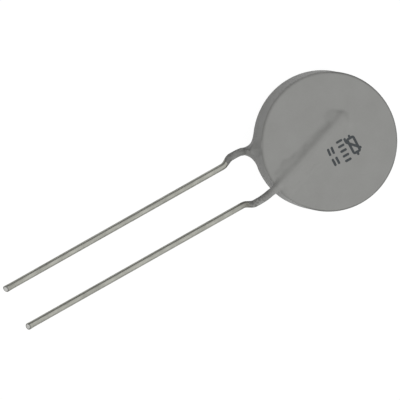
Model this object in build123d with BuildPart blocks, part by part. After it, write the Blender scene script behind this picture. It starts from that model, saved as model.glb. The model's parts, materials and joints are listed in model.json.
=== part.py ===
from build123d import *
import os
from math import pi, radians, sqrt, tan

os.makedirs("parts", exist_ok=True)

# A disc thermistor: a pressed ceramic disc with a silver electrode and a soldered wire on each face,
# dipped in lacquer. It lies on its back face. The origin is midway between the two straight legs, at
# the seating plane where they end and the kinks begin. +X runs from the legs to the disc, +Y from the
# front face's leg to the back face's leg, and +Z out of the front face. Sizes are in millimetres.

# ---- driving dimensions ----
ceramic_diameter = 15.3
ceramic_thickness = 3.65
ceramic_chamfer = 0.2
electrode_diameter = 14.5
electrode_thickness = 0.02

coat_on_face = 0.335  # lacquer over the ceramic's faces
coat_on_rim = 0.325  # lacquer round the ceramic's rim
coat_edge_radius = 0.45

wire_diameter = 0.72
lead_pitch = 5.0  # between the straight legs' axes, the board's hole spacing
front_leg_length = 28.6  # cut tip to seating plane
back_leg_length = 28.85
kink_run = 0.88  # along X
kink_offset = 0.51  # each leg steps outwards by this, and stops at the board
shoulder_run = 1.34  # straight on from the kink, along X
rise_run = 1.5  # from the middle of the disc's thickness out to a face, along X
rise_inset = 0.675  # towards the other lead on the way
bend_radius = 1.05  # on the wire's centre line

rim_standoff = 4.045  # seating plane to the nearest point of the coated rim
disc_shift = 0.716  # the disc hangs this much off the legs' midline, towards the front leg
cross_before_centre = 0.96  # a lead crosses the legs' midline this far short of the disc's centre
end_past_centre = 2.4  # and ends this far beyond the disc's centre, both along X

solder_film = 0.03  # under the wire
solder_cover = 0.04  # over the wire's crest
solder_crest_width = 0.5
solder_flank = 32.0  # degrees from upright
solder_setback = 1.3  # the solder starts this far inside the electrode's edge

ridge_cover = 0.1  # lacquer over the solder's crest
ridge_crest_width = 0.5
ridge_flank = 54.0  # degrees from upright
ridge_crest_radius = 0.18
ridge_setback = 0.15  # the ridge's foot keeps this far in from the rounded rim

sleeve_wall = 0.12  # lacquer drawn down the leads
sleeve_tip_wall = 0.03
sleeve_tip_gap = 0.3  # from the kink's upper corner to the sleeve's feathered tip
sleeve_taper = 0.3
front_web_radius = 0.25  # meniscus where a sleeve meets the rim
back_web_radius = 0.8
web_root = 0.04  # a web's neck starts this far inside the sleeve's skin
web_drop = 0.1  # a web stops this far short of the face

# ---- sizes that follow from them ----
wire_radius = wire_diameter / 2
ceramic_top = ceramic_thickness / 2
electrode_top = ceramic_top + electrode_thickness
wire_height = electrode_top + solder_film + wire_radius
coat_radius = ceramic_diameter / 2 + coat_on_rim
coat_top = ceramic_top + coat_on_face

disc_centre = Vector(rim_standoff + coat_radius, -disc_shift, 0)
kink_turn = Vector(kink_run, kink_offset, 0).get_angle(Vector(1, 0, 0))
kink_x = bend_radius * tan(radians(kink_turn / 2))  # the bend itself starts at the seating plane
shoulder_x = kink_x + kink_run
rise_x = shoulder_x + shoulder_run
landing_x = rise_x + rise_run
shoulder_y = lead_pitch / 2 + kink_offset
landing_y = shoulder_y - rise_inset
crossing_x = disc_centre.X - cross_before_centre
end_x = disc_centre.X + end_past_centre
lean_slope = landing_y / (crossing_x - landing_x)  # sideways for each millimetre along X

FRONT = 1
BACK = -1
faces = {"front": FRONT, "back": BACK}


def at_height(x, y, face, height):
    """A point near one lead: y counts outwards from the legs' midline, height from the disc's middle."""
    return Vector(x, -face * y, face * height)


def on_lead(x, face, height):
    """The point over a face's lead where it lies across the disc, at the given X and height."""
    return at_height(x, (crossing_x - x) * lean_slope, face, height)


def lean_direction(face):
    """The way a lead runs across its face, as a unit vector."""
    return Vector(1, face * lean_slope, 0).normalized()


def rim_crossing_x(face, radius):
    """Where a lead's line passes over a circle about the disc's centre, on the leads' side."""
    start = on_lead(landing_x, face, 0) - disc_centre
    along = lean_direction(face)
    middle = start.dot(along)
    reach = sqrt(middle**2 - start.dot(start) + radius**2)
    return landing_x - (middle + reach) * along.X


def bead(face, base, height, crest_width, flank, start_x):
    """A straight bead along a lead, from start_x to the lead's end, with sloping sides and round ends."""
    foot_width = crest_width + 2 * height * tan(radians(flank))
    start = on_lead(start_x, face, base)
    end = on_lead(end_x, face, base)
    with BuildPart() as body:
        with BuildSketch(Plane(origin=(start + end) / 2, x_dir=lean_direction(face), z_dir=(0, 0, face))):
            SlotCenterToCenter((end - start).length, foot_width)
        extrude(amount=height, taper=flank)
    return body.part


# ---- ceramic disc: pressed and sintered, with a small chamfer round both faces ----
with BuildPart() as ceramic_disc:
    with BuildSketch(Plane(origin=disc_centre - Vector(0, 0, ceramic_top))):
        Circle(ceramic_diameter / 2)
    extrude(amount=ceramic_thickness)
    chamfer(ceramic_disc.edges().filter_by(GeomType.CIRCLE), length=ceramic_chamfer)
ceramic_disc.part.label = "ceramic_disc"
export_step(ceramic_disc.part, "parts/ceramic_disc.step")

# ---- electrodes: a fired silver layer on each face ----
electrodes = {}
for name, face in faces.items():
    with BuildPart() as electrode:
        with BuildSketch(Plane(origin=disc_centre + Vector(0, 0, face * ceramic_top), z_dir=(0, 0, face))):
            Circle(electrode_diameter / 2)
        extrude(amount=electrode_thickness)
    electrode.part.label = f"{name}_electrode"
    export_step(electrode.part, f"parts/{name}_electrode.step")
    electrodes[name] = electrode.part

# ---- leads: one wire each, straight leg, outward kink, shoulder, rise to the face and lean across it ----
leg_lengths = {"front": front_leg_length, "back": back_leg_length}
leads = {}
for name, face in faces.items():
    corners = [
        at_height(-leg_lengths[name], lead_pitch / 2, face, 0),
        at_height(kink_x, lead_pitch / 2, face, 0),
        at_height(shoulder_x, shoulder_y, face, 0),
        at_height(rise_x, shoulder_y, face, 0),
        at_height(landing_x, landing_y, face, wire_height),
        on_lead(end_x, face, wire_height),
    ]
    with BuildPart() as lead:
        with BuildLine() as lead_route:
            FilletPolyline(*corners, radius=bend_radius)
        with BuildSketch(Plane(origin=corners[0], z_dir=(1, 0, 0))):
            Circle(wire_radius)
        sweep()
    lead.part.label = f"{name}_lead"
    export_step(lead.part, f"parts/{name}_lead.step")
    leads[name] = lead.part
    drawn_volume = pi * wire_radius**2 * lead_route.wire().length
    print(name, "lead: length", round(lead_route.wire().length, 2), "volume", round(lead.part.volume, 3),
          "section times length", round(drawn_volume, 3))

# ---- solder joints: a bead that wets the electrode and closes over the wire ----
solder_height = solder_film + wire_diameter + solder_cover
solder_joints = {}
for name, face in faces.items():
    solder_start = rim_crossing_x(face, electrode_diameter / 2) + solder_setback
    solder_bead = bead(face, electrode_top, solder_height, solder_crest_width, solder_flank, solder_start)
    with BuildPart() as solder_joint:
        add(solder_bead)
        add(leads[name], mode=Mode.SUBTRACT)
    solder_joint.part.label = f"{name}_solder_joint"
    export_step(solder_joint.part, f"parts/{name}_solder_joint.step")
    solder_joints[name] = solder_joint.part

# ---- coating: the dipped lacquer, a shell round everything above ----
ridge_height = electrode_top + solder_height + ridge_cover - coat_top
ridge_half_width = ridge_crest_width / 2 + ridge_height * tan(radians(ridge_flank))
sleeve_radius = wire_radius + sleeve_wall
sleeve_tip_x = shoulder_x + sleeve_tip_gap
sleeve_full_x = sleeve_tip_x + sleeve_taper
web_radii = {"front": front_web_radius, "back": back_web_radius}

# the dipped disc, its rim rounded into both faces
with BuildPart() as dipped_disc:
    with BuildSketch(Plane(origin=disc_centre - Vector(0, 0, coat_top))):
        Circle(coat_radius)
    extrude(amount=2 * coat_top)
    fillet(dipped_disc.edges().filter_by(GeomType.CIRCLE), radius=coat_edge_radius)

coat_features = []
for name, face in faces.items():
    # the ridge that the soldered wire raises on the face
    ridge_start = rim_crossing_x(face, coat_radius - coat_edge_radius) + ridge_setback + ridge_half_width
    ridge_bead = bead(face, coat_top, ridge_height, ridge_crest_width, ridge_flank, ridge_start)
    with BuildPart() as ridge:
        add(ridge_bead)
        crest = ridge.faces().sort_by(Axis((0, 0, 0), (0, 0, face)))[-1]
        fillet(crest.edges(), radius=ridge_crest_radius)
    coat_features.append(ridge.part)

    # the sleeve drawn down the lead, from inside the ridge to a feathered tip on the shoulder
    sleeve_corners = [
        at_height(sleeve_full_x, shoulder_y, face, 0),
        at_height(rise_x, shoulder_y, face, 0),
        at_height(landing_x, landing_y, face, wire_height),
        on_lead(ridge_start, face, wire_height),
    ]
    with BuildPart() as sleeve:
        with BuildLine():
            FilletPolyline(*sleeve_corners, radius=bend_radius)
        with BuildSketch(Plane(origin=sleeve_corners[0], z_dir=(1, 0, 0))):
            Circle(sleeve_radius)
        sweep()
        with BuildSketch(Plane(origin=at_height(sleeve_tip_x, shoulder_y, face, 0), z_dir=(1, 0, 0))):
            Circle(wire_radius + sleeve_tip_wall)
        with BuildSketch(Plane(origin=sleeve_corners[0], z_dir=(1, 0, 0))):
            Circle(sleeve_radius)
        loft()
    coat_features.append(sleeve.part)

    # the web, a meniscus that flares from the sleeve into the rim
    rim_x = rim_crossing_x(face, coat_radius)
    web_radius = web_radii[name]
    neck_radius = sleeve_radius - web_root
    mouth_radius = neck_radius + web_radius
    mouth_depth = coat_edge_radius + mouth_radius**2 / (2 * coat_radius)
    at_rim = on_lead(rim_x, face, wire_height)
    web_level = Plane(origin=(0, 0, face * (coat_top - web_drop)), z_dir=(0, 0, face))
    with BuildPart() as web:
        with BuildSketch(Plane(origin=at_rim, x_dir=lean_direction(face), z_dir=(0, 0, 1))):
            with BuildLine():
                neck = (-web_radius, neck_radius)
                mouth = (0, mouth_radius)
                RadiusArc(neck, mouth, -web_radius)
                Polyline(mouth, (mouth_depth, mouth_radius), (mouth_depth, 0), (-web_radius, 0), neck)
            make_face()
        revolve(axis=Axis(at_rim, lean_direction(face)))
        split(bisect_by=web_level, keep=Keep.BOTTOM)
    coat_features.append(web.part)

with BuildPart() as coating:
    add(dipped_disc.part)
    for feature in coat_features:
        add(feature)
    add(ceramic_disc.part, mode=Mode.SUBTRACT)
    for name in faces:
        add(electrodes[name], mode=Mode.SUBTRACT)
        add(solder_joints[name], mode=Mode.SUBTRACT)
        add(leads[name], mode=Mode.SUBTRACT)
coating.part.label = "coating"
export_step(coating.part, "parts/coating.step")
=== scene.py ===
import json
import math
from functools import partial
from types import SimpleNamespace

import bpy
from bpy.props import FloatProperty, FloatVectorProperty, IntProperty, PointerProperty
from mathutils import Matrix, Vector


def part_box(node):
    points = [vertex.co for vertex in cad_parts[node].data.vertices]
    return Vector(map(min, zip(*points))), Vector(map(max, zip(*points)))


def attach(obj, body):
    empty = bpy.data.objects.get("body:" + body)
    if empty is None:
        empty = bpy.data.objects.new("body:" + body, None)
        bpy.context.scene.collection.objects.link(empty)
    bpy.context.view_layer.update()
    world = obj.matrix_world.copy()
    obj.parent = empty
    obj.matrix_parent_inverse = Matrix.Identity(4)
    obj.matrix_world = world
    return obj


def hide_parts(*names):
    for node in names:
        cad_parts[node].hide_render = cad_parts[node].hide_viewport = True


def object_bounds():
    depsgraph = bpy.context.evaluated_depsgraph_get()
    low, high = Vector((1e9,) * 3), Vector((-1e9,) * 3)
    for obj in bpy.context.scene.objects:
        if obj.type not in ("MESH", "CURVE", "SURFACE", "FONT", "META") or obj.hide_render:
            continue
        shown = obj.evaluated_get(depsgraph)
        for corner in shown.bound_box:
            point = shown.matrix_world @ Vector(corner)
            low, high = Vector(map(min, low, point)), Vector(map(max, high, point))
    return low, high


bl_info = {
    "name": "Disc Thermistor",
    "version": (1, 0, 0),
    "blender": (4, 5, 0),
    "location": "3D View > Sidebar > Thermistor",
    "description": "Dresses the CAD frame of a lacquered disc thermistor: leads, lacquer, mark and stage",
    "category": "Object",
}

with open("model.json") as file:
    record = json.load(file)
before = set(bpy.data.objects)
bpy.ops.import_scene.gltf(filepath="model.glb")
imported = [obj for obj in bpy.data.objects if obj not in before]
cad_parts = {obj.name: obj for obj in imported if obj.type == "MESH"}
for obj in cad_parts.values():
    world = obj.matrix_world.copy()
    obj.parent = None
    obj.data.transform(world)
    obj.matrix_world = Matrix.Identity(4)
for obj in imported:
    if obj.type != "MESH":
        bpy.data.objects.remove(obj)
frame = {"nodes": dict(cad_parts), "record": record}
cad_low, cad_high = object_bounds()

MM = 0.001
FACES = {"front": 1, "back": -1}

# ---- places that the frame gives ----
mount_dims = {mount["name"]: mount["dims"] for mount in frame["record"]["mounts"]}
lead_pitch = mount_dims["lead_pair"]["spacing_x_mm"] * MM
wire_radius = mount_dims["lead_pair"]["stud_r_mm"] * MM
lead_boxes = {name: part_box(f"{name}_lead") for name in FACES}
wire_height = lead_boxes["front"][1].z - wire_radius
shoulder_y = -lead_boxes["front"][0].y - wire_radius
ceramic_low, ceramic_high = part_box("ceramic_disc")
disc_centre = (ceramic_low + ceramic_high) / 2
coat_low, coat_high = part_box("coating")
coat_radius = coat_high.x - disc_centre.x
coat_crest = coat_high.z


# ---- properties: sizes and colours that a user would change ----
def kind(make, convert=None, **fixed):
    """A kind of property: a function of its description, its default and what else is its own."""
    def describe(description, default, **own):
        value = convert(default) if convert else default
        return partial(make, description=description, default=value, **{**fixed, **own})
    return describe


def titled(settings_class):
    """Makes a class's properties, each named as its key is."""
    properties = settings_class.__annotations__
    for key, make in properties.items():
        properties[key] = make(name=key.replace("_", " ").title())
    return settings_class


# lengths and steps are given in millimetres, and angles in degrees
length = kind(FloatProperty, lambda size: size * MM, min=0.0, subtype="DISTANCE", unit="LENGTH", precision=5)
step = kind(FloatVectorProperty, lambda sizes: [size * MM for size in sizes], subtype="XYZ", unit="LENGTH")
angle = kind(FloatProperty, math.radians, subtype="ANGLE", unit="ROTATION")
share = kind(FloatProperty, min=0.0, max=1.0, subtype="FACTOR")
number = kind(FloatProperty)
count = kind(IntProperty)
colour = kind(FloatVectorProperty, size=3, min=0.0, max=1.0, subtype="COLOR")
direction = kind(FloatVectorProperty, size=3, subtype="DIRECTION")


@titled
class LeadSettings(bpy.types.PropertyGroup):
    """Sizes and finish of the two wire leads."""

    bend_radius: length("Radius of the bends on the centre line", 1.05)
    kink_run: length("Kink, along the leg", 0.88)
    shoulder_run: length("From the kink to the rise", 1.34)
    rise_run: length("Rise to the disc's face, along the leg", 1.5)
    rise_inset: length("Rise, towards the other wire", 0.675)
    cross_before: length("From crossing the midline to the disc's centre", 0.96)
    end_past: length("From the disc's centre to a lead's end", 2.4)
    ring_spacing: length("Distance between the mesh's rings", 0.16)
    sides: count("Faces round the wire", 28, min=8)
    cut_bevel: length("Rolled edge round the cut end", 0.04)
    cut_slant: number("Slope of the cut end towards the front", 0.6)
    cut_skew: number("Slope of the cut end away from the other lead", 0.1)
    cut_squash: share("How much the cutters flatten the tip", 0.12)
    cut_reach: length("How far up the wire they flatten it", 0.9)
    bright_tin: colour("Clean tin", (0.395, 0.395, 0.357))
    dull_tin: colour("Tarnished tin", (0.29, 0.29, 0.26))
    fresh_cut: colour("Metal at the cut ends", (0.55, 0.55, 0.53))
    burr: colour("Metal rolled over round the cut", (0.24, 0.24, 0.22))
    # painted shade too: on the back wire this colour is painted only on its side towards -Y
    stain: colour("Tin soiled by the lacquer's edge", (0.13, 0.125, 0.11))
    tin_cover: length("Tin over the wire's nominal radius", 0.01)


@titled
class CoatSettings(bpy.types.PropertyGroup):
    """Sizes and finish of the dipped lacquer."""

    face_cover: length("Lacquer over the ceramic's faces", 0.335)
    edge_radius: length("Rounding from the rim into a face", 0.32)
    root_fill: length("Extra lacquer where the leads leave the rim", 0.11)
    out_of_round: length("Extra lacquer on the rim's fullest place", 0.041)
    full_angle: angle("Bearing of the rim's fullest place", -172.0)
    # painted shade: the bearing about which the dark line painted over the disc's edge is darkest
    thin_angle: angle("Bearing of the edge's thinnest place", -35.0)
    ridge_slope: number("Steepness of the ridge's flanks", 0.42)
    ridge_height: length("Height of the ridge over the face", 0.56)
    ridge_round: length("Rounding of the ridge's crest", 0.25)
    ridge_shift: length("How far the ridge lies beside the wire", 0.3)
    ridge_end_pull: number("How much steeper the ridge is at its ends", 1.4)
    ridge_end_short: length("From the ridge's end to the wire's", 0.15)
    ridge_setback: length("From the rim to the ridge's start", 0.95)
    blob_offset: step("From the disc's centre to the lump at the front lead's end", (2.0, 1.9, 0.0))
    blob_half_width: length("Radius of the front lead's lump", 0.8)
    blob_height: length("Height of the front lead's lump", 0.4)
    sleeve_wall: length("Lacquer on the wire near its tip end", 0.06)
    sleeve_gain: length("Extra wall where the sleeve meets the rim", 0.05)
    sleeve_taper: length("Length of the sleeve's feathered tip", 0.6)
    front_tip: length("From the seating plane to the front sleeve's tip", 0.72)
    back_tip: length("From the seating plane to the back sleeve's tip", 0.6)
    front_web: length("Blend between the front sleeve and the rim", 0.22)
    back_web: length("Blend between the back sleeve and the rim", 1.45)
    web_spread: number("How much wider a web is towards the other lead", 1.8)
    web_fill: number("How much deeper a web is over the lead", 3.3)
    settling: count("Smoothing steps of the back lead's web", 10, min=0)
    face_blend: length("Blend between a sleeve and the face", 0.6)
    waviness: length("Height of the lacquer's slow waves", 0.02)
    voxel: length("Cell size of the lacquer's field", 0.095)
    light_lacquer: colour("Colour where it is lightest", (0.266, 0.267, 0.258))
    dark_lacquer: colour("Colour where it is darkest", (0.246, 0.246, 0.237))
    # this colour also paints shade: a dark line over the disc's edge and down the sleeves' sides
    thin_lacquer: colour("Colour where it is thin, as over the disc's edge", (0.13, 0.13, 0.125))


@titled
class MarkSettings(bpy.types.PropertyGroup):
    """Size, place and colour of the printed thermistor symbol."""

    offset: step("From the disc's centre to the mark's", (0.88, -1.66, 0.0))
    width: length("Across the mark", 2.62)
    height: length("Along the mark", 4.0)
    stroke: length("Line width", 0.29)
    proud: length("Height of the ink over the lacquer", 0.012)
    ink: colour("Ink colour", (0.022, 0.027, 0.03))


@titled
class InsideSettings(bpy.types.PropertyGroup):
    """Colours of what the lacquer hides."""

    ceramic: colour("Sintered titanate body", (0.11, 0.095, 0.082))
    silver: colour("Fired silver layer", (0.72, 0.71, 0.68))
    solder: colour("Soft solder", (0.60, 0.60, 0.58))


@titled
class StageSettings(bpy.types.PropertyGroup):
    """Camera, floor and light."""

    view_back: direction("From the object towards the camera", (-0.1812, 0.1577, 0.9707))
    view_up: direction("The camera's upward direction", (0.4838, 0.8736, -0.0516))
    frame_width: length("Width of the camera's view at the disc", 45.49)
    aim_right: length("The view's middle, right of the disc's", -14.275, min=-1.0)
    aim_up: length("The view's middle, above the disc's", -6.754, min=-1.0)
    lens: number("Focal length in millimetres", 1200.0)
    floor_size: length("Half the floor's width", 1500.0)
    floor_share: share("Share of its white that shadows can darken", 0.06)
    floor_bounce: share("Share of the light that it throws back", 0.6)
    zenith: number("Sky strength overhead", 1.61)
    horizon: number("Sky strength at the horizon", 0.67)
    dark_side: share("Share of the sky's strength on its darkest side", 0.42)
    reflected: number("Sky strength that shiny surfaces see", 1.5)
    bright_side: direction("The side away from the sky's dark side", (0.35, -0.96, 0.0))
    lamp_power: number("Power of the soft lamp, in watts", 0.02)
    lamp_distance: length("From the disc to the soft lamp", 120.0)
    lamp_size: length("Width of the soft lamp", 90.0)


SETTINGS = {
    "thermistor_leads": LeadSettings,
    "thermistor_coat": CoatSettings,
    "thermistor_mark": MarkSettings,
    "thermistor_inside": InsideSettings,
    "thermistor_stage": StageSettings,
}


# ---- node trees ----
def formula(operation, swapped=False):
    """A method of a value that puts it through a Math node."""
    def method(value, *others):
        return value.builder.math(operation, *((*others, value) if swapped else (value, *others)))
    return method


class Value:
    """A number that a socket carries, so that a formula reads as plain sums."""

    def __init__(self, builder, socket):
        self.builder = builder
        self.socket = socket

    def __neg__(self):
        return self * -1.0

    __add__ = formula("ADD")
    __sub__ = formula("SUBTRACT")
    __rsub__ = formula("SUBTRACT", swapped=True)
    __mul__ = formula("MULTIPLY")
    __truediv__ = formula("DIVIDE")
    __abs__ = formula("ABSOLUTE")
    __gt__ = formula("GREATER_THAN")
    __lt__ = formula("LESS_THAN")


class TreeBuilder:
    """Adds nodes to one tree and joins them."""

    def __init__(self, tree):
        self.tree = tree

    @classmethod
    def group(cls, name, kind):
        """A builder on a new node group."""
        builder = cls(bpy.data.node_groups.new(name, kind))
        builder.entry = builder.add("NodeGroupInput")
        builder.exit = builder.add("NodeGroupOutput")
        return builder

    @classmethod
    def material(cls, name):
        """A builder on a new material's tree, and the material."""
        material = bpy.data.materials.new(name)
        material.use_nodes = True
        material.node_tree.nodes.clear()
        return cls(material.node_tree), material

    def take(self, kinds):
        """The group's inputs by key, from the names of each kind's inputs, joined by commas."""
        sockets = {}
        for kind, names in kinds.items():
            for name in names.split(", "):
                self.tree.interface.new_socket(name, in_out="INPUT", socket_type="NodeSocket" + kind)
                sockets[key_of(name)] = self.read(self.entry.outputs[name])
        return SimpleNamespace(**sockets)

    def give(self, name, kind, value):
        """A named output of the group."""
        self.tree.interface.new_socket(name, in_out="OUTPUT", socket_type="NodeSocket" + kind)
        self.feed(self.exit.inputs[name], value)

    def read(self, socket):
        """A socket, as a value if it carries a number."""
        return Value(self, socket) if socket.type == "VALUE" else socket

    def feed(self, socket, value):
        """Joins a socket to another, or gives it a constant."""
        if isinstance(value, Value):
            value = value.socket
        if isinstance(value, bpy.types.NodeSocket):
            self.tree.links.new(value, socket)
        else:
            socket.default_value = value

    def add(self, kind, *values, **named):
        """A new node, of a kind that may lack its tree's prefix. The values are its inputs in order, what is
        named with a capital is an input too, and the rest are its settings."""
        prefix = "" if "Node" in kind else self.tree.bl_idname.removesuffix("Tree")
        node = self.tree.nodes.new(prefix + kind)
        inputs = dict(enumerate(values))
        for key, value in named.items():
            if key[0].isupper():
                inputs[key.replace("_", " ")] = value
            else:
                setattr(node, key, value)
        for key, value in inputs.items():
            self.feed(node.inputs[key], value)
        return node

    def get(self, kind, *values, output=0, **named):
        """One output of a new node."""
        return self.read(self.add(kind, *values, **named).outputs[output])

    def math(self, operation, *values):
        """The result of a Math node."""
        return self.get("ShaderNodeMath", *values, operation=operation)

    def most(self, first, *others):
        """The greatest of several values."""
        for other in others:
            first = self.math("MAXIMUM", first, other)
        return first

    def vector(self, operation, *values):
        """The result of a Vector Math node: a number for a dot product, length or distance."""
        output = "Value" if operation in ("DOT_PRODUCT", "LENGTH", "DISTANCE") else "Vector"
        return self.get("ShaderNodeVectorMath", *values, operation=operation, output=output)

    def split(self, vector):
        """The x, y and z of a vector."""
        return [self.read(socket) for socket in self.add("ShaderNodeSeparateXYZ", vector).outputs]

    def join(self, x=0.0, y=0.0, z=0.0):
        """A vector from its x, y and z."""
        return self.get("ShaderNodeCombineXYZ", x, y, z)

    def ramp(self, value, start, end, low=0.0, high=1.0, smooth=False):
        """Takes value from start to end onto low to high, and holds it at those."""
        kind = "SMOOTHSTEP" if smooth else "LINEAR"
        return self.get("ShaderNodeMapRange", value, start, end, low, high, interpolation_type=kind)

    def ramp_past(self, base, value, start, end, *lows_and_highs, smooth=False):
        """A ramp whose start and end are counted from a base."""
        return self.ramp(value, base + start, base + end, *lows_and_highs, smooth=smooth)

    def choose(self, test, where_true, where_false):
        """One number where the test is 1 and another where it is 0."""
        return self.get("ShaderNodeMix", Factor=test, A=where_false, B=where_true, data_type="FLOAT")

    def noise(self, vector, scale, detail=2.0, roughness=0.5):
        """A noise value, 0 to 1."""
        return self.get("ShaderNodeTexNoise", Vector=vector, Scale=scale, Detail=detail, Roughness=roughness,
                        output="Fac")

    def patches(self, vector, scale, start, end, detail=2.0, **levels):
        """Noise made into patches: from start to end it goes from low to high."""
        return self.ramp(self.noise(vector, scale, detail), start, end, **levels)

    def blend(self, factor, first, second):
        """A colour between two, by a factor."""
        node = self.add("ShaderNodeMix", factor, data_type="RGBA")
        start, end, result = (socket for socket in (*node.inputs, *node.outputs) if socket.type == "RGBA")
        self.feed(start, first)
        self.feed(end, second)
        return result

    def attribute(self, name):
        """A number that the piece's mesh carries."""
        return self.get("ShaderNodeAttribute", output="Fac", attribute_name=name)

    def bump(self, height, strength, distance):
        """A normal that shows a height."""
        return self.get("ShaderNodeBump", Height=height, Strength=strength, Distance=distance)

    def use(self, name, make, **inputs):
        """The outputs of a shared group that is placed in this tree. Its first use makes it."""
        node = self.tree.nodes.new("ShaderNodeGroup")
        node.node_tree = bpy.data.node_groups.get(name) or make()
        for item in node.inputs:
            self.feed(item, inputs[key_of(item.name)])
        return node.outputs

    def store(self, geometry, name, value, domain="POINT"):
        """A geometry with a named number on it, for a material."""
        return self.get("GeometryNodeStoreNamedAttribute", Geometry=geometry, Name=name, Value=value,
                        data_type="FLOAT", domain=domain)

    def finish_geometry(self, geometry, material):
        """Ends a geometry tree: smooth faces, real instances and the material."""
        smooth = self.get("GeometryNodeSetShadeSmooth", geometry)
        real = self.get("GeometryNodeRealizeInstances", smooth)
        painted = self.get("GeometryNodeSetMaterial", Geometry=real, Material=material)
        self.give("Geometry", "Geometry", painted)

    def finish_surface(self, **inputs):
        """Ends a material's tree with one Principled BSDF."""
        self.add("ShaderNodeOutputMaterial", Surface=self.get("ShaderNodeBsdfPrincipled", **inputs))


def key_of(name):
    """The key of an input or a setting from its name in the sidebar."""
    return name.lower().replace(" ", "_")


def opaque(rgb, gain=1.0):
    """A colour with full alpha, made lighter or darker by a gain."""
    return (*(gain * part for part in rgb), 1.0)


def span(start, end):
    """A ramp's start and end, given in millimetres."""
    return start * MM, end * MM


def line_mesh(name, chains):
    """A mesh of edges alone, from chains of points; a chain that ends where it starts is a ring."""
    points = []
    edges = []
    for chain in chains:
        first = len(points)
        closed = chain[0] == chain[-1]
        own = chain[:-1] if closed else chain
        points.extend(own)
        edges.extend((first + i, first + i + 1) for i in range(len(own) - 1))
        if closed:
            edges.append((len(points) - 1, first))
    mesh = bpy.data.meshes.new(name)
    mesh.from_pydata(points, edges, [])
    return mesh


def placed(name, data):
    """A new object, linked to the scene."""
    thing = bpy.data.objects.new(name, data)
    bpy.context.scene.collection.objects.link(thing)
    return thing


def grow(name, start_mesh, tree, settings, **values):
    """An object whose plain mesh is what a geometry tree makes of the starting mesh. The tree's other inputs
    come from the values, or else from the settings."""
    piece = placed(name, start_mesh)
    modifier = piece.modifiers.new(tree.name, "NODES")
    modifier.node_group = tree
    for item in tree.interface.items_tree:
        if item.in_out == "INPUT" and item.socket_type != "NodeSocketGeometry":
            key = key_of(item.name)
            modifier[item.identifier] = values[key] if key in values else getattr(settings, key)
    bpy.context.view_layer.update()
    evaluated = piece.evaluated_get(bpy.context.evaluated_depsgraph_get())
    mesh = bpy.data.meshes.new_from_object(evaluated)
    piece.modifiers.remove(modifier)
    piece.data = mesh
    mesh.name = name
    mesh.materials.clear()
    mesh.materials.append(values["material"])
    bpy.data.meshes.remove(start_mesh)
    if not mesh.polygons:
        raise RuntimeError(f"{name}: its node tree made no faces")
    return piece


# ---- effects that several materials share ----
MOTTLED_OVER = (0.3, 0.7)  # the noise that the patches' soft edges cover
TARNISHED_OVER = (0.35, 0.68)


def mottle_group():
    """Slow patches and a fine grain: a mask for colour and roughness, and a height for bump."""
    b = TreeBuilder.group("Mottle", "ShaderNodeTree")
    s = b.take({"Vector": "Vector", "Float": "Patch Scale, Grain Scale, Grain Share"})
    patches = b.noise(s.vector, s.patch_scale, detail=3.0)
    grain = b.noise(s.vector, s.grain_scale, detail=2.0, roughness=0.6)
    b.give("Mask", "Float", b.ramp(b.choose(s.grain_share, grain, patches), *MOTTLED_OVER))
    b.give("Grain", "Float", grain)
    return b.tree


def drawn_group():
    """Fine lines along X, as a die leaves on wire, under patches of tarnish."""
    b = TreeBuilder.group("Drawn Metal", "ShaderNodeTree")
    s = b.take({"Vector": "Vector", "Float": "Line Scale, Line Stretch, Patch Scale, Patch Stretch"})
    x, y, z = b.split(s.vector)
    lines = b.noise(b.join(x * s.line_stretch, y, z), s.line_scale)
    patches = b.noise(b.join(x * s.patch_stretch, y, z), s.patch_scale, detail=4.0, roughness=0.6)
    b.give("Tarnish", "Float", b.ramp(patches, *TARNISHED_OVER))
    b.give("Lines", "Float", lines)
    return b.tree


# ---- materials ----
def mottled(b, patch_scale, grain_scale, grain_share):
    """The mask and the grain of a mottle that is fixed to the piece."""
    place = b.get("TexCoord", output="Object")
    return b.use("Mottle", mottle_group, vector=place, patch_scale=patch_scale, grain_scale=grain_scale,
                 grain_share=grain_share)


def lacquer_material(settings):
    """Semi-matt grey lacquer with slow patches and orange peel: lighter on the sleeves, dark at their
    feathered tips, and darker in flecks of thinner lacquer near the tips and in streaks on the back sleeve.
    Painted shade: the feathered tips are darker on one side of each, and a dark line is painted along the
    disc's edge and down the sleeves' sides."""
    b, material = TreeBuilder.material("grey_lacquer")
    mottle = mottled(b, patch_scale=420.0, grain_scale=4200.0, grain_share=0.25)
    paint = b.blend(mottle["Mask"], opaque(settings.dark_lacquer), opaque(settings.light_lacquer))
    paint = b.blend(b.attribute("sleeve") * 0.6, paint, opaque(settings.light_lacquer, gain=1.1))
    # dark feathered tips, with painted shade on one side of each
    paint = b.blend(b.attribute("feather"), paint, opaque(settings.dark_lacquer, gain=0.45))
    # painted shade along the disc's edge and the sleeves' sides, with flecks of thinner lacquer and streaks
    # on the back sleeve
    paint = b.blend(b.attribute("thin"), paint, opaque(settings.thin_lacquer))
    b.finish_surface(
        Base_Color=paint,
        Roughness=b.ramp(mottle["Mask"], 0.0, 1.0, 0.46, 0.56),
        Specular_IOR_Level=0.2,
        Normal=b.bump(mottle["Grain"], strength=0.25, distance=0.012 * MM),
    )
    return material


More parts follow.
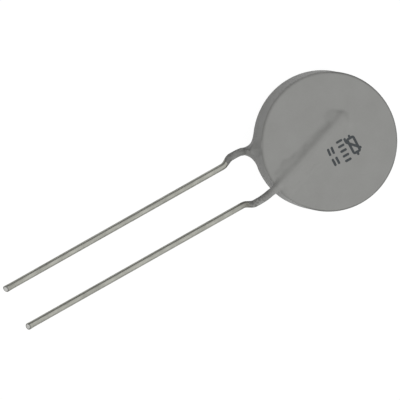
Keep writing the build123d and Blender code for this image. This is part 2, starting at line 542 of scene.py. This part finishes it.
def tin_material(settings):
    """Tinned wire: satin metal with drawn lines and patches of tarnish, darkened beside the lacquer's edge,
    with a dark burr round each bright cut end. That darkening is soiling on the front wire, and painted
    shade on the back wire's side towards -Y."""
    b, material = TreeBuilder.material("drawn_tin")
    drawn = b.use("Drawn Metal", drawn_group, vector=b.get("TexCoord", output="Object"),
                  line_scale=9000.0, line_stretch=0.03, patch_scale=1700.0, patch_stretch=0.4)
    tarnish = drawn["Tarnish"]
    paint = b.blend(tarnish, opaque(settings.bright_tin), opaque(settings.dull_tin))
    paint = b.blend(b.attribute("burr"), paint, opaque(settings.burr))
    # soiling by the lacquer, and on the back wire painted shade on its side towards -Y
    paint = b.blend(b.attribute("stain"), paint, opaque(settings.stain))
    paint = b.blend(b.attribute("cut"), paint, opaque(settings.fresh_cut))
    b.finish_surface(
        Base_Color=paint,
        Metallic=b.ramp(tarnish, 0.0, 1.0, 0.78, 0.63),
        Roughness=b.ramp(tarnish, 0.0, 1.0, 0.22, 0.32),
        Specular_IOR_Level=0.2,
        Specular_Tint=opaque((0.3, 0.3, 0.3)),
        Normal=b.bump(drawn["Lines"], strength=0.35, distance=0.01 * MM),
    )
    return material


def cloudy_material(name, rgb, gains, scales, roughness, relief=None, **inputs):
    """A material in patches of colour and roughness. The gains make the colours, the scales are the mottle's
    patch scale, grain scale and grain share, and the relief is a bump's strength and distance."""
    b, material = TreeBuilder.material(name)
    mottle = mottled(b, *scales)
    if relief:
        inputs["Normal"] = b.bump(mottle["Grain"], *relief)
    b.finish_surface(Base_Color=b.blend(mottle["Mask"], *(opaque(rgb, gain) for gain in gains)),
                     Roughness=b.ramp(mottle["Mask"], 0.0, 1.0, *roughness), **inputs)
    return material


# ---- the leads ----
BEND_STEPS = 12  # points round each bend
CAP_TILT = -0.7  # a face that looks further along -X than this is the cut end
CAP_SHARE = 0.66  # of the cut end's width, left flat inside its rolled edge
SPREAD_SHARE = 0.6  # how far the cutters spread the tip, for each part that they flatten it
STAIN_AND_SHADE_REACH = span(-0.9, 0.6)  # along X, towards the lacquer
STAIN_AND_SHADE_MOST = 0.9
STAIN_AND_SHADE_BLUR = 0.6
STAIN_AND_SHADE_SIDES = {"front": 1.6, "back": 0.0}  # the sideways tilt below which a wire is darkened: any on the front, for its stain, and to -Y on the back, for painted shade
STAIN_AND_SHADE_PATCHES = dict(scale=3000.0, start=0.35, end=0.6, low=0.6)


def lead_route(settings, name):
    """The corners of one lead's centre line, from its cut tip to its end on the disc's face."""
    face = FACES[name]
    tip_x = lead_boxes[name][0].x
    leg_y = lead_pitch / 2
    kink_turn = math.atan2(shoulder_y - leg_y, settings.kink_run)
    kink_x = settings.bend_radius * math.tan(kink_turn / 2)
    shoulder_x = kink_x + settings.kink_run
    rise_x = shoulder_x + settings.shoulder_run
    landing_x = rise_x + settings.rise_run
    landing_y = shoulder_y - settings.rise_inset
    crossing_x = disc_centre.x - settings.cross_before
    end_x = disc_centre.x + settings.end_past
    slope = landing_y / (crossing_x - landing_x)
    flat = [
        (tip_x, leg_y, 0.0),
        (kink_x, leg_y, 0.0),
        (shoulder_x, shoulder_y, 0.0),
        (rise_x, shoulder_y, 0.0),
        (landing_x, landing_y, wire_height),
        (end_x, (crossing_x - end_x) * slope, wire_height),
    ]
    return [(x, -face * y, face * z) for x, y, z in flat]


def bent_curve(b, chains, bend_radius, steps=BEND_STEPS):
    """Chains of edges as curves with rounded corners."""
    curve = b.get("MeshToCurve", Mesh=chains)
    return b.get("FilletCurve", Curve=curve, Count=steps, Radius=bend_radius, mode="POLY")


def lead_tree():
    """Wire along a route: evenly ringed, bent at the corners, sheared and rolled at the cut tip."""
    b = TreeBuilder.group("Wire Lead", "GeometryNodeTree")
    s = b.take({
        "Geometry": "Route",
        "Float": "Bend Radius, Wire Radius, Ring Spacing, Tip X, Leg Y, Cut Bevel, Cut Slant, Cut Skew, "
                 "Cut Squash, Cut Reach, Stain Side",
        "Int": "Sides",
        "Material": "Material",
    })
    bent = bent_curve(b, s.route, s.bend_radius)
    ringed = b.get("ResampleCurve", Curve=bent, Length=s.ring_spacing, mode="LENGTH")
    circle = b.get("CurvePrimitiveCircle", Resolution=s.sides, Radius=s.wire_radius, mode="RADIUS")
    wire = b.get("CurveToMesh", Curve=ringed, Profile_Curve=circle, Fill_Caps=True)

    # the cutters spread the tip sideways, flatten it and leave it slanting
    position = b.get("InputPosition")
    x, y, z = b.split(position)
    from_axis = y - s.leg_y
    nearness = b.ramp(x, s.tip_x + s.cut_reach, s.tip_x)
    flattened = nearness * s.cut_squash
    slope = z * s.cut_slant + from_axis * s.cut_skew
    room = s.wire_radius * (abs(s.cut_slant) + abs(s.cut_skew))
    shorter = slope + room + s.cut_bevel
    moved = b.join(shorter * nearness, from_axis * (flattened * SPREAD_SHARE), z * -flattened)
    wire = b.get("SetPosition", Geometry=wire, Offset=moved)

    # a rolled edge runs round the cut
    normal_x, normal_y, normal_z = b.split(b.get("InputNormal"))
    cap = (normal_x < CAP_TILT) * (x < s.tip_x + s.cut_reach)
    rolled = b.add("ExtrudeMesh", wire, Selection=cap, Offset_Scale=s.cut_bevel, mode="FACES").outputs
    wire = b.get("ScaleElements", Geometry=rolled["Mesh"], Selection=rolled["Top"], Scale=CAP_SHARE)
    wire = b.store(wire, "cut", rolled["Top"], domain="FACE")
    wire = b.store(wire, "burr", rolled["Side"], domain="FACE")

    # the wire is darker beside the lacquer's edge: soiling on the front wire, painted shade on the back
    # wire's side towards -Y
    stain = b.ramp(x, *STAIN_AND_SHADE_REACH, 0.0, STAIN_AND_SHADE_MOST, smooth=True)
    stain = stain * b.ramp(normal_y, s.stain_side, s.stain_side - STAIN_AND_SHADE_BLUR)
    wire = b.store(wire, "stain", stain * b.patches(position, **STAIN_AND_SHADE_PATCHES))
    b.finish_geometry(wire, s.material)
    return b.tree


class THERMISTOR_OT_leads(bpy.types.Operator):
    """Makes the two tinned wire leads along their bent routes"""

    bl_idname = "thermistor.leads"
    bl_label = "Make Leads"

    def execute(self, context):
        settings = context.scene.thermistor_leads
        tree = lead_tree()
        material = tin_material(settings)
        for name, face in FACES.items():
            route = lead_route(settings, name)
            lead = grow(f"{name}_wire", line_mesh(f"{name}_route", [route]), tree, settings,
                        wire_radius=wire_radius + settings.tin_cover, tip_x=route[0][0], leg_y=route[0][1],
                        cut_skew=settings.cut_skew * face, stain_side=STAIN_AND_SHADE_SIDES[name], material=material)
            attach(lead, "root")
            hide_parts(f"{name}_lead")
        return {"FINISHED"}


# ---- the lacquer ----
RIDGE_FOOT = 0.12 * MM  # how softly shapes run together
BLOB_FOOT = 0.25 * MM
WEB_PARTS = 0.5
OVAL_SHARE = -0.26  # of the rim's fullness, that comes twice in a turn
ROOT_BEARING = math.radians(183.0)  # where the leads leave the rim
ROOT_TURN = [math.cos(math.radians(turn)) for turn in (38.0, 6.0)]  # to each side of that bearing

# spans outwards from the rim
SLEEVE_BURIED = span(-0.4, -1.6)
FACE_TO_WEB = span(-0.3, 0.05)
SETTLED_INNER = span(-1.2, -0.5)
SETTLED_OUTER = span(1.5, 0.7)
OFF_SLEEVE = span(0.6, -0.1)
ON_DISC = span(0.15, 0.02)
ON_SLEEVE = span(0.4, 1.2)
BEHIND_STARTS = span(0.8, 1.9)

# spans from a sleeve's tip, along X
FEATHERED = span(0.1, 1.3)
FLECKED = span(0.8, 3.0)

# other spans
WEB_SIDES = span(-1.0, 1.0)  # along Y, from the front lead's web to the back lead's
WEB_INWARD = span(0.0, 0.7)  # towards the other lead
WEB_OVER = span(0.05, 0.8)  # over the wire
WEB_BESIDE = span(1.4, 0.2)  # beside the wire
AT_LEAD = span(2.2, 1.4)  # from the wire
OVER_EDGE = span(-0.03, 0.06)  # past the start of the edge's rounding
BACK_LEAD = span(0.0, 1.0)  # along Y
EDGE_TURN = (0.2, 0.8)  # shares of the edge's rounding
EDGE_SHADE_TURN = (-0.45, 0.1)  # cosines of the turn from the bearing where the painted edge shade is darkest
FEATHER_SHADE_TURN = (-0.5, 0.6)  # how far a surface looks away from the other lead
SIDE_SHADE_TURN = (0.7, 0.2)  # how far a surface looks up or down

TIP_WALL = 0.012 * MM
FEATHER_MOST = 0.95
FEATHER_SHADE_LEAST = 0.3  # share on the side that looks to the other lead
EDGE_SHADE_LEAST = 0.05
BEHIND_MOST = 0.6
GAIN_FULL_X = 5.0 * MM
FIELD_MARGIN_MM = 0.3  # of the meshed field round the lacquer
STEP_SHARE = 0.8  # of the way to the field's zero, in each step
STEPS = 2

# noise: its scale and the height of what it makes
WAVE_SCALE = 260.0
BEADS = (900.0, 0.05 * MM, 1.0)
RAGGED = (1800.0, 0.25 * MM)
FLANK_PATCHES = dict(scale=420.0, start=0.35, end=0.65, low=0.7, high=1.15, detail=1.0, smooth=True)
EDGE_PATCHES = dict(scale=700.0, start=0.35, end=0.6, low=0.5)
FEATHER_PATCHES = dict(scale=4200.0, start=0.4, end=0.6, low=0.3)
STREAKS = dict(scale=1500.0, start=0.35, end=0.62, low=0.45)
FLECKS = dict(scale=3600.0, start=0.46, end=0.56, high=0.9, detail=3.0)


def ripple(b, position, scale, height, detail=2.0):
    """Noise about zero, of a height from its lowest to its highest."""
    return (b.noise(position, scale, detail) - 0.5) * height


def raised_lacquer(b, s, position, out_z):
    """How far the lacquer stands over a face: a ridge along the lead, and a lump at the front one's end. The
    back face is folded onto the front, to share the ridge's sums."""
    x, y, z = b.split(position)
    folded = b.join(x, y * b.math("SIGN", out_z))
    along = b.vector("SUBTRACT", s.ridge_end, s.ridge_start)
    reached = b.vector("SUBTRACT", folded, s.ridge_start)
    whole = b.vector("LENGTH", along)
    forward = b.vector("DOT_PRODUCT", reached, along) / whole
    aside = b.vector("LENGTH", b.vector("CROSS_PRODUCT", reached, b.vector("NORMALIZE", along)))
    beyond = b.most(forward - whole, -forward, 0.0)
    rounded = b.vector("LENGTH", b.join(aside, s.ridge_round, beyond * s.ridge_end_pull))
    drop = (rounded - s.ridge_round) * (s.ridge_slope * b.patches(position, **FLANK_PATCHES))
    ridge = b.math("SMOOTH_MAX", s.ridge_height - drop, 0.0, RIDGE_FOOT)
    from_blob = b.vector("DISTANCE", folded, s.blob_place)
    blob = b.ramp(from_blob, 0.0, s.blob_half_width, s.blob_height, 0.0, smooth=True)
    return b.math("SMOOTH_MAX", ridge, blob * (out_z > 0.0), BLOB_FOOT)


def rim_radius(b, s, bearing):
    """The rim's radius: a little out of round, and fuller where the leads leave it."""
    turn = bearing - s.full_angle
    oval = b.math("COSINE", turn * 2.0) * OVAL_SHARE
    at_root = b.ramp(b.math("COSINE", bearing - ROOT_BEARING), *ROOT_TURN, smooth=True)
    return s.disc_radius + ((b.math("COSINE", turn) + oval) * s.out_of_round + at_root * s.root_fill)


def sleeve_distance(b, s, position, from_wire, own_tip, buried):
    """The distance from the lacquer drawn down the wires, which ends at a ragged tip."""
    x = b.split(position)[0]
    tapered = own_tip + s.sleeve_taper
    wall = b.ramp(x, own_tip, tapered, TIP_WALL, s.sleeve_wall)
    gain = b.ramp(x, tapered, GAIN_FULL_X, 0.0, s.sleeve_gain)
    beads = ripple(b, position, *BEADS) * b.ramp(x, own_tip, tapered)
    skin = b.choose(buried, s.wire_radius, s.wire_radius + wall + (gain + beads))
    return b.most(from_wire - skin, own_tip + ripple(b, position, *RAGGED) - x)


def web_width(b, s, position, wire_place):
    """How widely a sleeve runs into the rim: most at the back lead, towards the other and over the wire."""
    x, y, z = b.split(position)
    wire_x, wire_y, wire_z = b.split(wire_place)
    lead_side = b.math("SIGN", y)
    inward = (wire_y - y) * lead_side
    over = (z - wire_z) * lead_side
    spread = b.ramp(inward, *WEB_INWARD, 1.0, s.web_spread, smooth=True)
    above = b.ramp(over, *WEB_OVER) * b.ramp(abs(inward), *WEB_BESIDE)
    fill = b.ramp(above, 0.0, 1.0, 1.0, s.web_fill, smooth=True)
    web = b.ramp(y, *WEB_SIDES, s.front_web, s.back_web, smooth=True)
    return web * b.math("SMOOTH_MAX", spread, fill, WEB_PARTS)


def meshed(b, s, field, normal):
    """The surface where a distance field is zero, with every point brought onto that zero."""
    volume = b.get("VolumeCube", -field, -1.0, s.low_corner, s.high_corner, *b.split(s.cells))
    surface = b.get("VolumeToMesh", Volume=volume, Threshold=0.0)
    step = b.get("ShaderNodeVectorMath", normal, Scale=field * -STEP_SHARE, operation="SCALE")
    for _ in range(STEPS):
        surface = b.get("SetPosition", Geometry=surface, Offset=step)
    return surface


def settle(b, s, surface, position, weight):
    """The surface smoothed where the weight says, by moving its points among their neighbours."""
    blur = b.add("BlurAttribute", Iterations=s.settling, Weight=weight, data_type="FLOAT_VECTOR")
    place, smoothed = (socket for socket in (*blur.inputs, *blur.outputs) if socket.type == "VECTOR")
    b.feed(place, position)
    return b.get("SetPosition", Geometry=surface, Position=smoothed)


def coat_tree():
    """Lacquer as a distance field, meshed: a rounded disc with a ridge over each lead, and sleeves that webs
    run into it. What its material reads is stored on the points."""
    b = TreeBuilder.group("Dipped Lacquer", "GeometryNodeTree")
    s = b.take({
        "Geometry": "Routes",
        "Vector": "Disc Centre, Ridge Start, Ridge End, Blob Place, Low Corner, High Corner, Cells",
        "Float": "Bend Radius, Wire Radius, Disc Radius, Half Thickness, Crest, Edge Radius, Out Of Round, "
                 "Root Fill, Full Angle, Thin Angle, Waviness, Ridge Height, Ridge Slope, Ridge Round, "
                 "Ridge End Pull, Blob Half Width, Blob Height, Sleeve Wall, Sleeve Gain, Sleeve Taper, "
                 "Front Tip, Back Tip, Front Web, Back Web, Web Spread, Web Fill, Face Blend",
        "Int": "Settling",
        "Material": "Material",
    })
    position = b.get("InputPosition")
    x, y, z = b.split(position)
    out_x, out_y, out_z = b.split(b.vector("SUBTRACT", position, s.disc_centre))
    level = abs(out_z)
    from_axis = b.vector("LENGTH", b.join(out_x, out_y))
    bearing = b.math("ARCTAN2", out_y, out_x)
    lead_side = b.math("SIGN", y)
    own_tip = b.choose(y < 0.0, s.front_tip, s.back_tip)
    by_tip = partial(b.ramp_past, own_tip, x)

    # the dipped disc
    rim = rim_radius(b, s, bearing)
    by_rim = partial(b.ramp_past, rim, from_axis)
    top = s.half_thickness + raised_lacquer(b, s, position, out_z)
    past_rim = from_axis - (rim - s.edge_radius)
    past_top = level - (top - s.edge_radius)
    outside = b.vector("LENGTH", b.join(b.most(past_rim, 0.0), b.most(past_top, 0.0)))
    inside = b.math("MINIMUM", b.most(past_rim, past_top), 0.0)
    disc = outside + inside - s.edge_radius
    waves = ripple(b, position, WAVE_SCALE, s.waviness * 2.0, detail=1.0)

    # the sleeves, and the webs that run them into it
    centre_lines = b.get("CurveToMesh", Curve=bent_curve(b, s.routes, s.bend_radius))
    near = b.add("Proximity", Geometry=centre_lines, target_element="EDGES").outputs
    from_wire = b.read(near["Distance"])
    buried = by_rim(*SLEEVE_BURIED)
    sleeve = sleeve_distance(b, s, position, from_wire, own_tip, buried)
    web = web_width(b, s, position, near["Position"])
    width = by_rim(*FACE_TO_WEB, s.face_blend, web, smooth=True)
    body = b.math("SMOOTH_MIN", disc + waves, sleeve, width)
    normal = b.get("InputNormal")
    surface = meshed(b, s, b.most(body, level - s.crest), normal)

    # the web settles into a smooth fillet where the back lead leaves the rim
    at_rim = by_rim(*SETTLED_INNER) * by_rim(*SETTLED_OUTER)
    weight = at_rim * b.ramp(from_wire, *AT_LEAD) * (y > 0.0)
    surface = settle(b, s, surface, position, weight)

    # the sleeves' colour, and their feathered tips, with painted shade on one side of each tip
    surface = b.store(surface, "sleeve", by_rim(*OFF_SLEEVE, 1.0, 0.0))
    normal_x, normal_y, normal_z = b.split(normal)
    feather = by_tip(*FEATHERED, FEATHER_MOST, 0.0, smooth=True)
    feather = feather * b.patches(position, **FEATHER_PATCHES)
    # painted shade: the tip's darkening changes with the side that its surface looks to
    feather = feather * b.ramp(normal_y * lead_side, *FEATHER_SHADE_TURN, 1.0, FEATHER_SHADE_LEAST)
    surface = b.store(surface, "feather", feather)

    # a dark line is painted as shade over the disc's rounded edge, darkest about one bearing
    turned = b.ramp(past_rim, *(s.edge_radius * part for part in EDGE_TURN), smooth=True)
    on_edge = turned * b.ramp(past_top, *OVER_EDGE) * b.patches(position, **EDGE_PATCHES)
    edge_shade_spread = b.ramp(b.math("COSINE", bearing - s.thin_angle), *EDGE_SHADE_TURN, EDGE_SHADE_LEAST, 1.0, smooth=True)
    over_edge = on_edge * by_rim(*ON_DISC) * edge_shade_spread

    # darker on the sleeves too: flecks of thinner lacquer near their tips, streaks on the back sleeve, and
    # painted shade in streaks where their surface looks sideways
    streaks = b.patches(position, **STREAKS)
    flecks = b.patches(position, **FLECKS) * by_tip(*FLECKED, 1.0, 0.0)
    behind = b.ramp(y, *BACK_LEAD, 0.0, BEHIND_MOST) * streaks
    behind = behind * by_rim(*BEHIND_STARTS, smooth=True)
    # painted shade: darker where a sleeve's surface looks sideways
    sides = b.ramp(abs(normal_z), *SIDE_SHADE_TURN, smooth=True) * streaks
    on_sleeve = by_rim(*ON_SLEEVE, smooth=True) * b.most(behind, flecks, sides)
    surface = b.store(surface, "thin", over_edge + on_sleeve)
    b.finish_geometry(surface, s.material)
    return b.tree


class THERMISTOR_OT_coat(bpy.types.Operator):
    """Makes the dipped lacquer over the disc and down the leads"""

    bl_idname = "thermistor.coat"
    bl_label = "Make Lacquer"

    def execute(self, context):
        settings = context.scene.thermistor_coat
        lead_settings = context.scene.thermistor_leads
        routes = [lead_route(lead_settings, name) for name in FACES]

        # the ridge lies beside the front lead, from inside the rim to short of the wire's end
        landing, end = (Vector(point) for point in routes[0][-2:])
        landing.z = end.z = 0.0
        lean = (end - landing).normalized()
        middle = Vector((disc_centre.x, disc_centre.y, 0.0))
        short = (middle - landing).dot(lean)
        passing = (landing + lean * short - middle).length
        inner_radius = coat_radius - settings.ridge_setback
        beside = Vector((lean.y, -lean.x, 0.0)) * settings.ridge_shift
        start = landing + lean * (short - math.sqrt(inner_radius ** 2 - passing ** 2)) + beside

        margin = Vector((1.0, 1.0, 1.0)) * FIELD_MARGIN_MM * MM
        low = Vector((min(settings.front_tip, settings.back_tip), coat_low.y, coat_low.z)) - margin
        high = coat_high + margin
        coat = grow("lacquer_coat", line_mesh("coat_routes", routes), coat_tree(), settings,
                    bend_radius=lead_settings.bend_radius, wire_radius=wire_radius,
                    disc_centre=disc_centre, disc_radius=coat_radius, crest=coat_crest,
                    half_thickness=(ceramic_high.z - ceramic_low.z) / 2 + settings.face_cover,
                    ridge_start=start, ridge_end=end + beside - lean * settings.ridge_end_short,
                    blob_place=middle + Vector(settings.blob_offset),
                    low_corner=low, high_corner=high, cells=(high - low) / settings.voxel,
                    material=lacquer_material(settings))
        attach(coat, "root")
        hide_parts("coating")
        return {"FINISHED"}


# ---- the mark ----
# strokes as points across and up, in shares of the mark's half width and of a row's height
SYMBOL = [
    [(-0.68, 0.7), (0.68, 0.7), (0.68, 1.3), (-0.68, 1.3), (-0.68, 0.7)],
    [(-1.0, 1.0), (-0.68, 1.0)],
    [(0.68, 1.0), (1.0, 1.0)],
    [(-0.95, 0.52), (-0.5, 0.52), (0.55, 1.51)],
]
BARS = [[(across, -0.32), (across, 0.32)] for across in (-0.92, -0.46, 0.0, 0.46, 0.92)]
DASHES = [[(start, up), (start + 0.72, up)] for start in (-0.86, 0.14) for up in (-0.84, -1.2)]
ROWS = 3

CORNER_STEPS = 4
PROFILE_SIDES = 12
STEP_LENGTH = 0.4  # along a stroke, in half widths
NARROWEST = 0.1  # share of the width at a stroke's very end
CAST_FROM = 1.0 * MM  # over the strokes' level
CAST_DEPTH = 5.0 * MM


def mark_strokes(settings):
    """A thermistor symbol over a row of upright bars and a row of dashes, as chains of points. Across the
    mark is -Y and up it is +X, as it reads when the part stands on its legs."""
    half_width = settings.width / 2
    row = settings.height / ROWS
    centre = disc_centre + Vector(settings.offset)
    return [[(centre.x + up * row, centre.y - across * half_width, coat_crest) for across, up in stroke]
            for stroke in (*SYMBOL, *BARS, *DASHES)]


def mark_tree():
    """Flat strokes with round ends, laid on the surface of another piece."""
    b = TreeBuilder.group("Printed Strokes", "GeometryNodeTree")
    s = b.take({"Geometry": "Strokes", "Object": "Ground", "Float": "Level, Half Width, Proud",
                "Material": "Material"})
    curve = bent_curve(b, s.strokes, s.half_width, CORNER_STEPS)
    curve = b.get("ResampleCurve", Curve=curve, Length=s.half_width * STEP_LENGTH, mode="LENGTH")
    curve = b.get("SetCurveNormal", Curve=curve, mode="Z_UP")

    # a stroke's ends are round, unless it runs into itself
    along = b.get("SplineParameter", output="Length")
    whole = b.get("SplineLength", output="Length")
    inward = b.ramp(b.math("MINIMUM", along, whole - along), 0.0, s.half_width, 1.0, 0.0)
    ends = b.math("SQRT", 1.0 - inward * inward)
    swell = b.most(ends, b.get("InputSplineCyclic"), NARROWEST)
    circle = b.get("CurvePrimitiveCircle", Resolution=PROFILE_SIDES, Radius=s.half_width, mode="RADIUS")
    profile = b.get("Transform", Geometry=circle, Scale=b.join(1.0, s.proud / s.half_width, 1.0))
    strip = b.get("CurveToMesh", Curve=curve, Profile_Curve=profile, Scale=swell, Fill_Caps=True)

    # every point drops onto the ground, and keeps its own height over the strokes' level
    surface = b.get("ObjectInfo", s.ground, output="Geometry")
    position = b.get("InputPosition")
    hit = b.get("Raycast", Target_Geometry=surface, Ray_Length=CAST_DEPTH,
                Ray_Direction=(0.0, 0.0, -1.0), output="Hit Position",
                Source_Position=b.vector("ADD", position, (0.0, 0.0, CAST_FROM)))
    landed = b.vector("ADD", hit, b.join(z=b.split(position)[2] - s.level))
    b.finish_geometry(b.get("SetPosition", Geometry=strip, Position=landed), s.material)
    return b.tree


class THERMISTOR_OT_mark(bpy.types.Operator):
    """Prints a plain thermistor symbol on the front face"""

    bl_idname = "thermistor.mark"
    bl_label = "Print Mark"

    def execute(self, context):
        settings = context.scene.thermistor_mark
        ink = cloudy_material("printing_ink", settings.ink, gains=(1.0, 1.6), scales=(2500.0, 9000.0, 0.5),
                              roughness=(0.5, 0.65))
        ground = bpy.data.objects["lacquer_coat"]
        mark = grow("printed_symbol", line_mesh("strokes", mark_strokes(settings)), mark_tree(), settings,
                    ground=ground, level=coat_crest, half_width=settings.stroke / 2, material=ink)
        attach(mark, "root")
        return {"FINISHED"}


# ---- what the lacquer hides ----
class THERMISTOR_OT_inside(bpy.types.Operator):
    """Gives the ceramic, the silver layers and the solder their materials"""

    bl_idname = "thermistor.inside"
    bl_label = "Finish Inside"

    def execute(self, context):
        settings = context.scene.thermistor_inside
        metal = {"gains": (0.78, 1.0), "scales": (1500.0, 9000.0, 0.4), "relief": (0.3, 0.008 * MM),
                 "Metallic": 1.0}
        silver = cloudy_material("fired_silver", settings.silver, roughness=(0.5, 0.35), **metal)
        solder = cloudy_material("soft_solder", settings.solder, roughness=(0.36, 0.22), **metal)
        body = {"gains": (1.0, 1.35), "scales": (900.0, 12000.0, 0.6), "relief": (0.4, 0.01 * MM)}
        ceramic = cloudy_material("sintered_ceramic", settings.ceramic, roughness=(0.7, 0.85), **body)
        finishes = {"ceramic_disc": ceramic}
        for name in FACES:
            finishes[f"{name}_electrode"] = silver
            finishes[f"{name}_solder_joint"] = solder
        for node, finish in finishes.items():
            for material_slot in frame["nodes"][node].material_slots:
                material_slot.material = finish
        return {"FINISHED"}


# ---- the stage ----
WHITE = 1.03  # strength that surely shows as white
# how far a direction looks towards the bright side
DARK_SIDE_TURN = (-0.9, 0.1)
DARK_BAND_TURN = (-0.85, -0.42)
# what shiny surfaces see: shares of the reflected strength
DARK_BAND = 0.03
HORIZON_SHARE = 0.27
HORIZON_RISE = 0.5  # the upward part of a direction at which they see all of it
LAMP_RIGHT = 0.6  # the lamp's direction, for each part towards the camera
LAMP_UP = -0.4
CLIP_NEAR = 0.1  # shares of the camera's distance
CLIP_FAR = 10.0


def floor_material(settings):
    """White where it is seen; only a share of that white is lit, which a shadow darkens."""
    b, material = TreeBuilder.material("studio_floor")
    path = b.add("LightPath").outputs
    seen = b.most(path["Is Camera Ray"], path["Is Glossy Ray"], path["Is Transmission Ray"])
    lit = b.get("BsdfDiffuse", Color=b.choose(seen, settings.floor_share, settings.floor_bounce))
    glow = b.get("Emission", Strength=seen * (WHITE - settings.floor_share))
    b.add("OutputMaterial", Surface=b.get("AddShader", lit, glow))
    return material


def light_sky(scene, settings):
    """A soft sky, brighter overhead and on one side, that is plain white to the camera. Shiny surfaces see a
    dark band on its dark side."""
    world = bpy.data.worlds.new("studio_sky")
    world.use_nodes = True
    world.node_tree.nodes.clear()
    scene.world = world
    b = TreeBuilder(world.node_tree)
    towards = b.get("TexCoord", output="Generated")
    rise = b.most(b.split(towards)[2], 0.0)
    sideways = b.vector("DOT_PRODUCT", towards, Vector(settings.bright_side).normalized())
    overhead = b.ramp(rise, 0.0, 1.0, settings.horizon, settings.zenith)
    strength = overhead * b.ramp(sideways, *DARK_SIDE_TURN, settings.dark_side, 1.0, smooth=True)
    lowest = DARK_BAND * settings.reflected
    reflected = b.ramp(sideways, *DARK_BAND_TURN, lowest, settings.reflected, smooth=True)
    reflected = reflected * b.ramp(rise, 0.0, HORIZON_RISE, HORIZON_SHARE, 1.0, smooth=True)
    path = b.add("LightPath").outputs
    strength = b.choose(path["Is Glossy Ray"], reflected, strength)
    strength = b.choose(path["Is Camera Ray"], 1.0, strength)
    b.add("OutputWorld", Surface=b.get("Background", Strength=strength))


class THERMISTOR_OT_stage(bpy.types.Operator):
    """Makes the floor, the light and the camera"""

    bl_idname = "thermistor.stage"
    bl_label = "Set Stage"

    def execute(self, context):
        scene = context.scene
        settings = scene.thermistor_stage
        scene.view_settings.view_transform = "Standard"
        light_sky(scene, settings)

        half = settings.floor_size
        corners = [(-half, -half), (half, -half), (half, half), (-half, half)]
        mesh = bpy.data.meshes.new("floor")
        mesh.from_pydata([(x, y, cad_low.z) for x, y in corners], [], [(0, 1, 2, 3)])
        mesh.materials.append(floor_material(settings))
        floor = placed("floor", mesh)

        back = Vector(settings.view_back).normalized()
        right = Vector(settings.view_up).cross(back).normalized()
        up = back.cross(right)
        aim = disc_centre + right * settings.aim_right + up * settings.aim_up
        data = bpy.data.cameras.new("camera")
        data.lens = settings.lens
        distance = settings.frame_width * settings.lens / data.sensor_width
        data.clip_start = distance * CLIP_NEAR
        data.clip_end = distance * CLIP_FAR
        camera = placed("camera", data)
        turned = Matrix((right, up, back)).transposed().to_4x4()
        camera.matrix_world = Matrix.Translation(aim + back * distance) @ turned
        scene.camera = camera

        lamp_data = bpy.data.lights.new("soft_lamp", "AREA")
        lamp_data.shape = "DISK"
        lamp_data.size = settings.lamp_size
        lamp_data.energy = settings.lamp_power
        lamp = placed("soft_lamp", lamp_data)
        lamp_back = (right * LAMP_RIGHT + up * LAMP_UP + back).normalized()
        lamp.location = disc_centre + lamp_back * settings.lamp_distance
        lamp.rotation_mode = "QUATERNION"
        lamp.rotation_quaternion = (-lamp_back).to_track_quat("-Z", "Y")
        lamp.visible_glossy = False
        return {"FINISHED"}


class THERMISTOR_PT_sidebar(bpy.types.Panel):
    """Lists the thermistor's pieces and their settings"""

    bl_idname = "THERMISTOR_PT_sidebar"
    bl_label = "Disc Thermistor"
    bl_space_type = "VIEW_3D"
    bl_region_type = "UI"
    bl_category = "Thermistor"

    def draw(self, context):
        for (name, settings_class), operator in zip(SETTINGS.items(), OPERATORS):
            box = self.layout.box()
            box.operator(operator.bl_idname)
            settings = getattr(context.scene, name)
            for key in settings_class.__annotations__:
                box.prop(settings, key)


OPERATORS = (
    THERMISTOR_OT_leads,
    THERMISTOR_OT_coat,
    THERMISTOR_OT_mark,
    THERMISTOR_OT_inside,
    THERMISTOR_OT_stage,
)
CLASSES = (*SETTINGS.values(), *OPERATORS, THERMISTOR_PT_sidebar)


def register():
    for cls in CLASSES:
        bpy.utils.register_class(cls)
    for name, settings_class in SETTINGS.items():
        setattr(bpy.types.Scene, name, PointerProperty(type=settings_class))


def unregister():
    for name in SETTINGS:
        delattr(bpy.types.Scene, name)
    for cls in reversed(CLASSES):
        bpy.utils.unregister_class(cls)


def main():
    """Registers the add-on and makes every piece."""
    register()
    bpy.ops.thermistor.leads()
    bpy.ops.thermistor.coat()
    bpy.ops.thermistor.mark()
    bpy.ops.thermistor.inside()
    bpy.ops.thermistor.stage()


if __name__ == "__main__":
    main()
